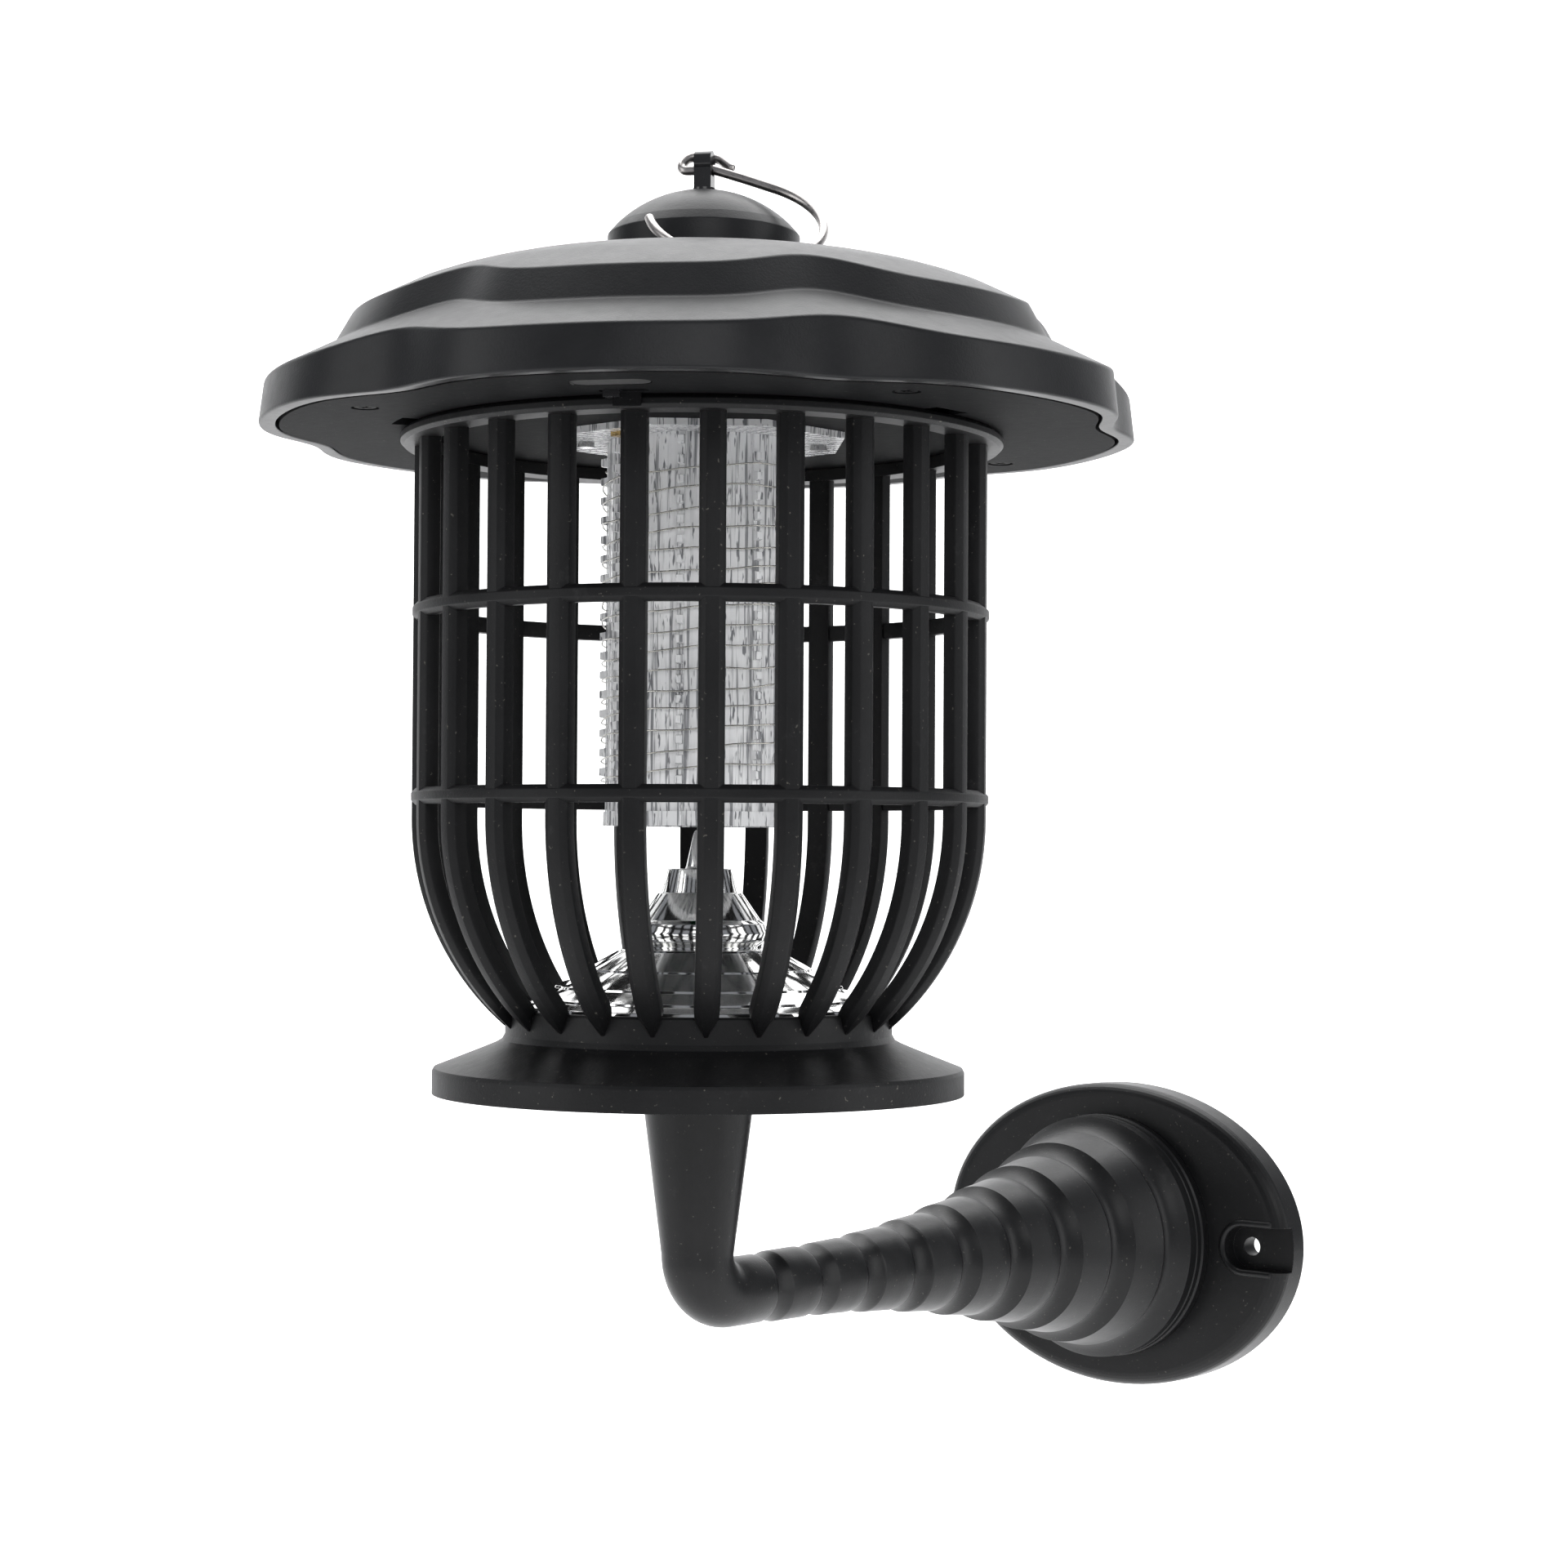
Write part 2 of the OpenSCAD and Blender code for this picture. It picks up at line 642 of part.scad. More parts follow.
module battery_contacts() {
    axis_z = shelf_z + 1.6 + battery_r + 0.1;
    color(steel) at_lantern() {
        translate([battery_l / 2 + 2.9, battery_y, shelf_z + 4]) box([0.8, 12, 12]);
        translate([battery_l / 2 + 1.2, battery_y, axis_z]) rotate([0, 90, 0])
            cylinder(r = 2, h = 1.3);
        translate([-battery_l / 2 - 2.9, battery_y, shelf_z + 4]) box([0.8, 12, 12]);
        for (k = [0 : 1]) translate([-battery_l / 2 - 2.5 + k * 1.1, battery_y, axis_z])
            rotate([0, 90, 0]) rotate_extrude() translate([4 - k, 0]) square([1.1, 1.1]);
    }
}

module control_board() {
    color(board_green) at_lantern() translate([0, board_y, board_z]) difference() {
        box([64, 40, 1.6]);
        for (x = [-28, 28], y = [-16, 16]) translate([x, y, 0]) bore(1.6, 1.6);
    }
}

module board_standoffs() {
    color(plastic) at_lantern() for (x = [-28, 28], y = [-16, 16])
        translate([x, board_y + y, shelf_z]) {
            cylinder(r = 3, h = board_z - shelf_z);
            cylinder(r = 1.5, h = board_z - shelf_z + 2.4);
        }
}

module hv_transformer() {
    color([0.85, 0.75, 0.25]) at_lantern() translate([-16, board_y + 2, board_z + 1.6]) {
        box([17, 15, 3]);
        translate([0, 0, 3]) cylinder(r = 6.4, h = 8);
        translate([0, 0, 11]) box([17, 15, 2.4]);
    }
}

module hv_capacitor() {
    color([0.55, 0.12, 0.10]) at_lantern() translate([0, board_y, board_z + 1.6]) {
        translate([10, 6, 0]) box([19, 7, 11]);
        translate([10, -8, 0]) cylinder(r = 4, h = 11);
        translate([22, -8, 0]) cylinder(r = 3.2, h = 9);
    }
}

module charge_socket() {
    color(steel) at_lantern() at_controls(port_r) translate([0, 0, shelf_z]) difference() {
        box([10, 4.2, 6.4]);
        translate([0, 0, -0.5]) linear_extrude(5) stadium(8.4, 2.6);
    }
}

module port_cover() {
    color([0.06, 0.06, 0.06]) at_lantern() at_controls(port_r) {
        translate([0, 0, roof_z + 0.1]) linear_extrude(1.3) stadium(20.8, 8.4);
        translate([0, 0, roof_z + 1.2]) linear_extrude(2.6) stadium(7.4, 1.9);
        translate([-10, 1.5, roof_z + 0.1]) rotate([90, 0, 0]) cylinder(r = 0.3, h = 3);
    }
}

module switch_body() {
    color([0.2, 0.2, 0.2]) at_lantern() at_controls(switch_r) translate([0, 0, shelf_z])
        difference() {
            box([19, 8, 6]);
            translate([0, 0, -0.5]) box([13, 4.6, 3.5]);
        }
}

module switch_slider() {
    color([0.08, 0.08, 0.08]) at_lantern() at_controls(switch_r) translate([-3, 0, 0]) {
        translate([0, 0, roof_z - 1.6]) box([4.4, 3.2, 5.8]);
        translate([0, 0, shelf_z + 0.3]) box([6, 4, 1.9]);
    }
}

module led_board() {
    color(board_green) at_lantern() translate([0, 0, shelf_z]) difference() {
        cylinder(r = 27, h = 1.6);
        for (x = [-2, 2]) translate([x, 0, 0]) bore(1.2, 1.6);
    }
}

module uv_leds() {
    color([0.75, 0.70, 0.95]) at_lantern() for (k = [0 : 5]) rotate([0, 0, 60 * k])
        translate([0, 14, shelf_z]) {
            translate([0, 0, -1.2]) cylinder(r = 2.9, h = 1.2);
            translate([0, 0, -6.2]) cylinder(r = 2.5, h = 5);
            translate([0, 0, -6.2]) sphere(r = 2.5, $fn = 48);
        }
}

// ---- Light column and grid ----

module comb(k) {
    shift = wire_pitch * 2 * k / comb_count;
    teeth = 18;
    start = grid_low - wire_pitch / 2 + shift;
    rotate([0, 0, comb_angle + 360 / comb_count * k]) rotate([90, 0, 0]) translate([0, 0, -0.9])
        linear_extrude(1.8) polygon(concat([[comb_in, comb_low], [tube_r + 0.9, comb_low]],
            [for (t = [0 : teeth - 1]) let (z = start + t * wire_pitch)
                if (z - 1.35 > comb_low && z + 1.35 < comb_high)
                each [[tube_r + 0.9, z - 1.35], [tooth_r, z - 1], [tooth_r, z + 1],
                    [tube_r + 0.9, z + 1.35]]],
            [[tube_r + 0.9, comb_high], [comb_in, comb_high]]));
}

module light_column() {
    color(clear) at_lantern() difference() {
        union() {
            translate([0, 0, tube_z]) cylinder(r = tube_r, h = roof_z - tube_z);
            translate([0, 0, roof_z - flange_t]) rotate([0, 0, 22.5])
                cylinder(r = flange_in / cos(22.5), h = flange_t, $fn = 8);
            translate([0, 0, tube_z]) cylinder(r = tube_r + 0.9, h = foot_h);
        }
        translate([0, 0, tube_z - 1]) cylinder(r = tube_in, h = roof_z);
        for (k = [0 : 3]) around(45 + 90 * k, 33)
            translate([0, 0, roof_z - flange_t]) bore(1.6, flange_t);
    }
}

module wire_combs() {
    color(clear) at_lantern() for (k = [0 : comb_count - 1]) comb(k);
}

module column_screws() {
    color(steel) at_lantern() for (k = [0 : 3]) around(45 + 90 * k, 33) {
        translate([0, 0, roof_z - flange_t - 1.5]) cylinder(r = 2.4, h = 1.5);
        translate([0, 0, roof_z - flange_t - 0.2]) cylinder(r = 1.2, h = 8);
    }
}

// A thin wire wound round the combs
module grid_wire(lift) {
    per_turn = 24;
    at_lantern() tube([for (k = [0 : grid_turns * per_turn]) let (a = comb_angle + 360 * k / per_turn)
        [grid_r * cos(a), grid_r * sin(a), grid_low + lift + 2 * wire_pitch * k / per_turn]],
        grid_wire_r, 6);
}

module hv_wire_a() {
    color(steel) grid_wire(0);
}

module hv_wire_b() {
    color(steel) grid_wire(wire_pitch);
}

module hv_terminals() {
    color(brass) at_lantern() for (s = [0, 180]) rotate([0, 0, s])
        translate([-2.5, 30.4, roof_z - flange_t - 1.2]) cube([5, 4, 1.2]);
}

module battery_leads() {
    color([0.7, 0.1, 0.1]) at_lantern() for (s = [-1, 1])
        tube([[s * 36.4, -44.7, shelf_z + 3], [s * 35.4, -34, shelf_z + 1.8],
            [s * 35, -24, shelf_z + 1], [s * 35, 28, shelf_z + 1], [s * 34.6, 34, shelf_z + 3],
            [s * 34, 40, board_z + 1]], 0.7);
}

module led_leads() {
    color([0.9, 0.9, 0.9]) at_lantern() for (s = [-1, 1])
        tube([[s * 3, 8, shelf_z + 2.4], [s * 4.5, 16, shelf_z + 4.4],
            [s * 6, 24, shelf_z + 5], [s * 8, 33, shelf_z + 5.4], [s * 8, 41, board_z - 0.9]], 0.6);
}

module solar_leads() {
    color([0.1, 0.1, 0.1]) at_lantern() for (s = [-1, 1])
        tube([[s * 1.5, 20.4, seat_z + 0.6], [s * 1.5, 16, seat_z + 3],
            [s * 1.5, 12, seat_z + 3.6], [s * 2, 8.2, seat_z + 2.4]], 0.5);
}

wall_plate();
bracket_arm();
arm_screws();
base();
reflector_cone();
reflector_screws();
cage_bars();
cage_lower_bars();
cage_hoop_lower();
cage_hoop_upper();
cage_top_ring();
roof_shell();
under_cover();
cover_seal();
cover_screws();
threaded_inserts();
finial();
hook_eyelet();
eyelet_washer();
eyelet_nut();
hanging_hook();
solar_panel();
battery_holder();
battery_cell();
battery_contacts();
control_board();
board_standoffs();
hv_transformer();
hv_capacitor();
charge_socket();
port_cover();
switch_body();
switch_slider();
led_board();
uv_leds();
light_column();
wire_combs();
column_screws();
hv_wire_a();
hv_wire_b();
hv_terminals();
battery_leads();
led_leads();
solar_leads();
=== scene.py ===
"""Insect-zapper lantern on its wall bracket: materials, fine shapes, camera and light."""

import math

import bpy
import numpy as np
from mathutils import Matrix, Vector


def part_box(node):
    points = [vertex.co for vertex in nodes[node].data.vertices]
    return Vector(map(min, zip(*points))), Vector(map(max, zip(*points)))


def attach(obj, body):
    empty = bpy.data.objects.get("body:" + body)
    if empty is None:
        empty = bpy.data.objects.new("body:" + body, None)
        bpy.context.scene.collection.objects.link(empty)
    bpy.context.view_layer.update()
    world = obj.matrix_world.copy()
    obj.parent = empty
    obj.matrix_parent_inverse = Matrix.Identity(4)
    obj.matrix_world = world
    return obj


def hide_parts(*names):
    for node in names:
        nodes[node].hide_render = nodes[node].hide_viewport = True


MM = 0.001
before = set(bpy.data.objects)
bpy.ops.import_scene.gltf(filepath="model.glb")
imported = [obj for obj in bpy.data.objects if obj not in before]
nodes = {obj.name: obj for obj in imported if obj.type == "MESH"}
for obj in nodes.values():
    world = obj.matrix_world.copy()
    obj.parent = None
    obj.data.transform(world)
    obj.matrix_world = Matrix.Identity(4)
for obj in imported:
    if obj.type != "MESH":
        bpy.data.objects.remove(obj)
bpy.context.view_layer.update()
base_low, base_high = (np.array(p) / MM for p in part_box("base"))
AXIS = np.array([*((base_low + base_high) / 2)[:2], base_low[2]])
REACH = 210.0  # from the wall to the lantern's axis
VIEW = math.radians(43)  # how far the camera stands round to the lantern's side
CAMERA_BACK, CAMERA_UP = 861.6, 67.5
PITCH, YAW, ROLL = (math.radians(a) for a in (1.3, 1.57, 0.33))


# ---- Camera ----
def add_camera():
    """A 70 mm lens a little under a metre away, level with the cage."""
    right = np.array([math.cos(VIEW), math.sin(VIEW), 0])
    away = np.array([-math.sin(VIEW), math.cos(VIEW), 0])
    up = np.array([0.0, 0, 1])
    level = math.sin(YAW) * right + math.cos(YAW) * away
    cam_right = math.cos(YAW) * right - math.sin(YAW) * away
    ahead = math.cos(PITCH) * level + math.sin(PITCH) * up
    cam_up = -math.sin(PITCH) * level + math.cos(PITCH) * up
    rolled_right = math.cos(ROLL) * cam_right + math.sin(ROLL) * cam_up
    rolled_up = -math.sin(ROLL) * cam_right + math.cos(ROLL) * cam_up
    place = (AXIS - CAMERA_BACK * away + CAMERA_UP * up) * MM
    data = bpy.data.cameras.new("camera")
    data.lens = 70.0
    data.sensor_width = 36.0
    data.sensor_fit = "HORIZONTAL"
    data.clip_start = 0.05
    data.clip_end = 20
    cam = bpy.data.objects.new("camera", data)
    bpy.context.scene.collection.objects.link(cam)
    rot = Matrix([[rolled_right[i], rolled_up[i], -ahead[i]] for i in range(3)])
    cam.matrix_world = Matrix.Translation(Vector(place)) @ rot.to_4x4()
    bpy.context.scene.camera = cam


add_camera()


# ---- Materials ----
class Mat:
    """A node material built in a few calls."""

    def __init__(self, name):
        self.m = bpy.data.materials.new(name)
        self.m.use_nodes = True
        self.t = self.m.node_tree
        self.b = self.t.nodes["Principled BSDF"]
        self.co = self.n("ShaderNodeTexCoord").outputs["Object"]

    def n(self, kind, **props):
        node = self.t.nodes.new(kind)
        for k, v in props.items():
            setattr(node, k, v)
        return node

    def link(self, a, b):
        self.t.links.new(a, b)

    def noise(self, scale, detail=3.0, rough=0.55, co=None):
        x = self.n("ShaderNodeTexNoise")
        x.inputs["Scale"].default_value = scale
        x.inputs["Detail"].default_value = detail
        x.inputs["Roughness"].default_value = rough
        self.link(co or self.co, x.inputs["Vector"])
        return x.outputs["Fac"]

    def span(self, value, a, b, lo, hi):
        x = self.n("ShaderNodeMapRange")
        for k, v in zip(("From Min", "From Max", "To Min", "To Max"), (a, b, lo, hi)):
            x.inputs[k].default_value = v
        self.link(value, x.inputs["Value"])
        return x.outputs["Result"]

    def mix(self, fac, a, b):
        x = self.n("ShaderNodeMix", data_type="RGBA")
        self.link(fac, x.inputs["Factor"])
        for sock, v in ((x.inputs["A"], a), (x.inputs["B"], b)):
            if isinstance(v, tuple):
                sock.default_value = (*v, 1)
            else:
                self.link(v, sock)
        return x.outputs["Result"]

    def math(self, op, a, b=None):
        x = self.n("ShaderNodeMath", operation=op)
        for i, v in enumerate((a, b)):
            if v is None:
                continue
            if isinstance(v, (int, float)):
                x.inputs[i].default_value = v
            else:
                self.link(v, x.inputs[i])
        return x.outputs[0]

    def bump(self, height, dist, normal=None):
        x = self.n("ShaderNodeBump")
        x.inputs["Distance"].default_value = dist * MM
        x.inputs["Strength"].default_value = 1.0
        self.link(height, x.inputs["Height"])
        if normal:
            self.link(normal, x.inputs["Normal"])
        return x.outputs["Normal"]

    def edge(self, radius):
        x = self.n("ShaderNodeBevel", samples=4)
        x.inputs["Radius"].default_value = radius * MM
        return x.outputs["Normal"]

    def set(self, **vals):
        for k, v in vals.items():
            sock = self.b.inputs[k.replace("_", " ")]
            if isinstance(v, bpy.types.NodeSocket):
                self.link(v, sock)
            elif isinstance(v, tuple):
                sock.default_value = (*v, 1) if len(v) == 3 else v
            else:
                sock.default_value = v


def moulded(name, dark, light, rough, grain, depth, spec=0.5, dust=0.0, edge=0.0):
    """Moulded plastic with a fine grain, uneven gloss and a little dust."""
    m = Mat(name)
    large = m.noise(38, 4)
    fine = m.noise(grain, 2, 0.6)
    mid = m.noise(260, 3)
    colour = m.mix(m.span(large, 0.3, 0.7, 0, 1), dark, light)
    if dust:
        specks = m.span(m.noise(900, 1), 0.72, 0.78, 0, dust)
        colour = m.mix(specks, colour, (0.16, 0.15, 0.13))
        scuffs = m.span(m.noise(60, 6, 0.75), 0.62, 0.8, 0, dust * 0.6)
        colour = m.mix(scuffs, colour, (0.09, 0.09, 0.09))
    height = m.math("ADD", fine, m.math("MULTIPLY", mid, 0.5))
    normal = m.bump(height, depth, m.edge(edge) if edge else None)
    m.set(Base_Color=colour, Normal=normal, Specular_IOR_Level=spec,
          Roughness=m.span(m.math("ADD", large, mid), 0.7, 1.3, rough - 0.02, rough + 0.03))
    return m.m


def metal(name, colour, rough, streaks, depth, edge=0.0, tint=0.85):
    """Metal with faint polishing marks."""
    m = Mat(name)
    marks = m.noise(streaks, 5, 0.7)
    cloud = m.noise(60, 3)
    dim = tuple(c * tint for c in colour)
    m.set(Base_Color=m.mix(m.span(cloud, 0.3, 0.7, 0, 1), dim, colour), Metallic=1.0,
          Roughness=m.span(marks, 0.3, 0.7, rough * 0.7, rough * 1.4),
          Normal=m.bump(marks, depth, m.edge(edge) if edge else None))
    return m.m


def lacquer(name, colour, other, rough, scale=300, edge=0.2):
    """A coated or printed piece inside the head."""
    m = Mat(name)
    spots = m.noise(scale, 4)
    m.set(Base_Color=m.mix(m.span(spots, 0.4, 0.6, 0, 1), colour, other),
          Roughness=m.span(spots, 0.3, 0.7, rough, rough + 0.12),
          Normal=m.bump(spots, 0.05, m.edge(edge)))
    return m.m


roof_mat = moulded("roof_plastic", (0.0085, 0.0088, 0.0096), (0.0125, 0.0128, 0.0138),
                   0.38, 1500, 0.045, spec=0.2)
cage_mat = moulded("cage_plastic", (0.0038, 0.0039, 0.0043), (0.0066, 0.0067, 0.0072),
                   0.5, 1200, 0.06, spec=0.2, dust=0.3)
base_mat = moulded("base_plastic", (0.0042, 0.0043, 0.0047), (0.007, 0.0071, 0.0076),
                   0.46, 1200, 0.06, spec=0.24, dust=0.45, edge=0.35)
cover_mat = moulded("cover_plastic", (0.006, 0.0061, 0.0066), (0.0095, 0.0096, 0.0102),
                    0.68, 1400, 0.05, spec=0.04, dust=0.2, edge=0.25)
arm_mat = moulded("arm_plastic", (0.0042, 0.0043, 0.0047), (0.0068, 0.0069, 0.0074),
                  0.36, 1600, 0.03, spec=0.27, dust=0.25)
plate_mat = moulded("plate_plastic", (0.0042, 0.0043, 0.0047), (0.0068, 0.0069, 0.0074),
                    0.36, 1600, 0.03, spec=0.24, dust=0.25, edge=0.4)
gloss_mat = moulded("gloss_plastic", (0.010, 0.010, 0.011), (0.016, 0.016, 0.017),
                    0.18, 700, 0.01)
rubber_mat = moulded("soft_rubber", (0.012, 0.012, 0.012), (0.02, 0.02, 0.02),
                     0.7, 900, 0.05, dust=0.3, edge=0.3)
dark_screw_mat = moulded("blackened_steel", (0.004, 0.004, 0.0043), (0.007, 0.007, 0.0074),
                         0.6, 900, 0.02, spec=0.04, edge=0.15)
steel_mat = metal("polished_steel", (0.42, 0.4, 0.39), 0.3, 500, 0.006)
screw_mat = metal("screw_steel", (0.50, 0.50, 0.50), 0.28, 700, 0.01, edge=0.15)
chrome_mat = metal("chrome_plating", (0.88, 0.88, 0.87), 0.09, 110, 0.03, tint=0.93)
brass_mat = metal("turned_brass", (0.70, 0.50, 0.22), 0.25, 700, 0.01, edge=0.1)
wire_mat = metal("grid_wire", (0.55, 0.54, 0.50), 0.22, 900, 0.002)


def clear_mat():
    """Clear moulded plastic with upright flutes and faint flow marks, with dark upright streaks
    and dashes painted into its colour as reflections.
    """
    m = Mat("clear_plastic")
    sep = m.n("ShaderNodeSeparateXYZ")
    m.link(m.co, sep.inputs[0])
    x = sep.outputs["X"]
    y = m.math("SUBTRACT", sep.outputs["Y"], float(AXIS[1] * MM))
    angle = m.math("ARCTAN2", x, y)
    flutes = m.math("ABSOLUTE", m.math("SINE", m.math("MULTIPLY", angle, 30.0)))
    stretch = m.n("ShaderNodeMapping")
    stretch.inputs["Scale"].default_value = (1, 1, 0.035)
    m.link(m.co, stretch.inputs["Vector"])
    streak = m.noise(760, 3, 0.55, stretch.outputs["Vector"])
    broken = m.n("ShaderNodeMapping")
    broken.inputs["Scale"].default_value = (1, 1, 0.16)
    m.link(m.co, broken.inputs["Vector"])
    painted_reflection_dashes = m.noise(1100, 2, 0.5, broken.outputs["Vector"])
    flow = m.noise(70, 3)
    # Dark streaks and dashes that are mixed into the base colour: painted reflections on the clear
    # column.
    lines = m.math("MAXIMUM", m.span(streak, 0.545, 0.61, 0, 0.8),
                   m.span(painted_reflection_dashes, 0.59, 0.65, 0, 0.9))
    colour = m.mix(m.span(flow, 0.3, 0.7, 0, 1), (0.95, 0.955, 0.965), (0.99, 0.992, 0.995))
    normal = m.bump(m.math("ADD", flutes, streak), 0.32)
    # The dark grey is the colour of the painted reflection streaks.
    m.set(Base_Color=m.mix(lines, colour, (0.16, 0.165, 0.18)),
          Roughness=m.span(streak, 0.3, 0.7, 0.03, 0.12), IOR=1.45, Transmission_Weight=0.24,
          Specular_IOR_Level=0.6, Normal=normal)
    return m.m


column_mat = clear_mat()
lamp_mat = lacquer("lamp_plastic", (0.62, 0.6, 0.8), (0.7, 0.68, 0.88), 0.1)
board_mat = lacquer("circuit_board", (0.02, 0.16, 0.07), (0.03, 0.22, 0.10), 0.3, 900)
coil_mat = lacquer("coil", (0.62, 0.48, 0.10), (0.5, 0.36, 0.07), 0.35)
cap_mat = lacquer("capacitor_coat", (0.42, 0.07, 0.05), (0.35, 0.05, 0.04), 0.3)
cell_mat = lacquer("cell_sleeve", (0.05, 0.17, 0.42), (0.06, 0.2, 0.5), 0.25)
lead_mat = lacquer("wire_sleeve", (0.35, 0.04, 0.04), (0.28, 0.03, 0.03), 0.4, 600, 0.1)


def panel_mat():
    """Solar cells under glass: dark blue with thin silver fingers."""
    m = Mat("solar_glass")
    sep = m.n("ShaderNodeSeparateXYZ")
    m.link(m.co, sep.inputs[0])
    fine = m.math("SINE", m.math("MULTIPLY", sep.outputs["X"], 6.2832 / 0.0022))
    bus = m.math("SINE", m.math("MULTIPLY", sep.outputs["Y"], 6.2832 / 0.024))
    lines = m.math("MAXIMUM", m.span(fine, 0.93, 0.97, 0, 1), m.span(bus, 0.985, 0.99, 0, 1))
    crystal = m.noise(220, 2)
    cells = m.mix(m.span(crystal, 0.35, 0.65, 0, 1), (0.008, 0.016, 0.06), (0.015, 0.03, 0.10))
    m.set(Base_Color=m.mix(lines, cells, (0.35, 0.36, 0.38)), Coat_Weight=1.0, Coat_Roughness=0.04,
          Roughness=m.span(crystal, 0.3, 0.7, 0.25, 0.4), Normal=m.bump(lines, 0.02))
    return m.m


solar_mat = panel_mat()


# ---- Mesh helpers ----
def add_mesh(name, points, faces, mat, body, replaces=(), sharp=None):
    mesh = bpy.data.meshes.new(name)
    mesh.from_pydata([tuple(float(c) * MM for c in p) for p in points], [], faces)
    mesh.validate()
    mesh.materials.append(mat)
    obj = bpy.data.objects.new(name, mesh)
    bpy.context.scene.collection.objects.link(obj)
    mesh.polygons.foreach_set("use_smooth", [True] * len(mesh.polygons))
    if sharp:
        mesh.set_sharp_from_angle(angle=math.radians(sharp))
    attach(obj, body)
    if replaces:
        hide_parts(*replaces)


def fillet(points, radii, seg):
    """Rounds the corners of a closed outline.

    Each corner gives seg + 1 points, and one of radius 0 gives one.
    """
    out = []
    n = len(points)
    pts = [np.array(p, float) for p in points]
    for i in range(n):
        r = radii[i]
        if r == 0:
            out.append(pts[i])
            continue
        a, p, b = pts[i - 1], pts[i], pts[(i + 1) % n]
        u, v = a - p, b - p
        lu, lv = np.linalg.norm(u), np.linalg.norm(v)
        u, v = u / lu, v / lv
        half = math.acos(max(-1, min(1, float(u @ v)))) / 2
        cut = min(r / max(math.tan(half), 1e-6), lu * 0.48, lv * 0.48)
        q0, q1 = p + u * cut, p + v * cut
        for k in range(seg + 1):
            t = k / seg
            out.append((1 - t) ** 2 * q0 + 2 * t * (1 - t) * p + t * t * q1)
    return out


def turn(a):
    """Unit vector at angle a (radians) from -Y towards +X."""
    return np.array([math.sin(a), -math.cos(a)])


def ring_loop(rings, closed=True):
    """Points and faces of a skin from ring to ring, and back to the first one if closed."""
    n, m = len(rings), len(rings[0])
    faces = []
    for i in range(n if closed else n - 1):
        j = (i + 1) % n
        for k in range(m):
            q = (k + 1) % m
            faces.append((i * m + k, j * m + k, j * m + q, i * m + q))
    return [p for r in rings for p in r], faces


def rod(rings):
    """Points and faces of a skin from ring to ring, closed by a face at each end."""
    pts, faces = ring_loop(rings, False)
    m = len(rings[0])
    faces.append(tuple(range(m - 1, -1, -1)))
    faces.append(tuple(range(len(pts) - m, len(pts))))
    return pts, faces


def join(parts):
    """Points and faces of several skins as one mesh."""
    pts, faces = [], []
    for p, f in parts:
        off = len(pts)
        pts += p
        faces += [tuple(v + off for v in face) for face in f]
    return pts, faces


def lathe(name, outline, mat, body, replaces, n, sharp):
    """Turns an outline of (radius, height) pairs about the lantern's axis.

    The outline may also be a function that returns it for an angle.
    """
    rings = []
    for i in range(n):
        a = 2 * math.pi * i / n
        d = turn(a)
        rings.append([(AXIS[0] + d[0] * r, AXIS[1] + d[1] * r, AXIS[2] + z)
                      for r, z in (outline(a) if callable(outline) else outline)])
    pts, faces = ring_loop(rings)
    add_mesh(name, pts, faces, mat, body, replaces, sharp)


def frames_along(path):
    """Unit headings and square side vectors along a path, without twist."""
    path = [np.array(p, float) for p in path]
    n = len(path)
    heads = []
    for i in range(n):
        d = path[min(i + 1, n - 1)] - path[max(i - 1, 0)]
        heads.append(d / np.linalg.norm(d))
    side = np.cross(heads[0], [0, 0, 1.0])
    if np.linalg.norm(side) < 0.1:
        side = np.cross(heads[0], [1.0, 0, 0])
    sides = []
    for h in heads:
        side = side - h * (side @ h)
        side = side / np.linalg.norm(side)
        sides.append(side)
    return heads, sides


def tube(path, radius, sides, rounded=True):
    """Points and faces of a round wire, with rounded or flat ends."""
    path = [np.array(p, float) for p in path]
    heads, sidev = frames_along(path)
    stations = [(p, h, s, radius) for p, h, s in zip(path, heads, sidev)]
    if rounded:
        ends = []
        for k in range(1, 6):
            a = math.pi / 2 * k / 5
            ends.append((math.sin(a) * radius * 0.6, max(math.cos(a), 0.02) * radius))
        first, last = stations[0], stations[-1]
        lead = [(first[0] - first[1] * d, first[1], first[2], r) for d, r in reversed(ends)]
        tail = [(last[0] + last[1] * d, last[1], last[2], r) for d, r in ends]
        stations = lead + stations + tail
    rings = []
    for p, h, s, r in stations:
        w = np.cross(h, s)
        rings.append([p + r * (math.cos(2 * math.pi * k / sides) * s
                               + math.sin(2 * math.pi * k / sides) * w) for k in range(sides)])
    return rod(rings)


def smooth_path(points, per):
    """Catmull-Rom curve through the points."""
    p = [np.array(q, float) for q in points]
    p = [2 * p[0] - p[1]] + p + [2 * p[-1] - p[-2]]
    out = []
    for i in range(1, len(p) - 2):
        for k in range(per):
            t = k / per
            out.append(0.5 * ((2 * p[i]) + (p[i + 1] - p[i - 1]) * t
                              + (2 * p[i - 1] - 5 * p[i] + 4 * p[i + 1] - p[i + 2]) * t * t
                              + (3 * p[i] - p[i - 1] - 3 * p[i + 1] + p[i + 2]) * t ** 3))
    out.append(p[-2])
    return out


# ---- Roof ----
DOME_TOP, DOME_DROP, DOME_POWER = 232.6, 16.8, 3.6
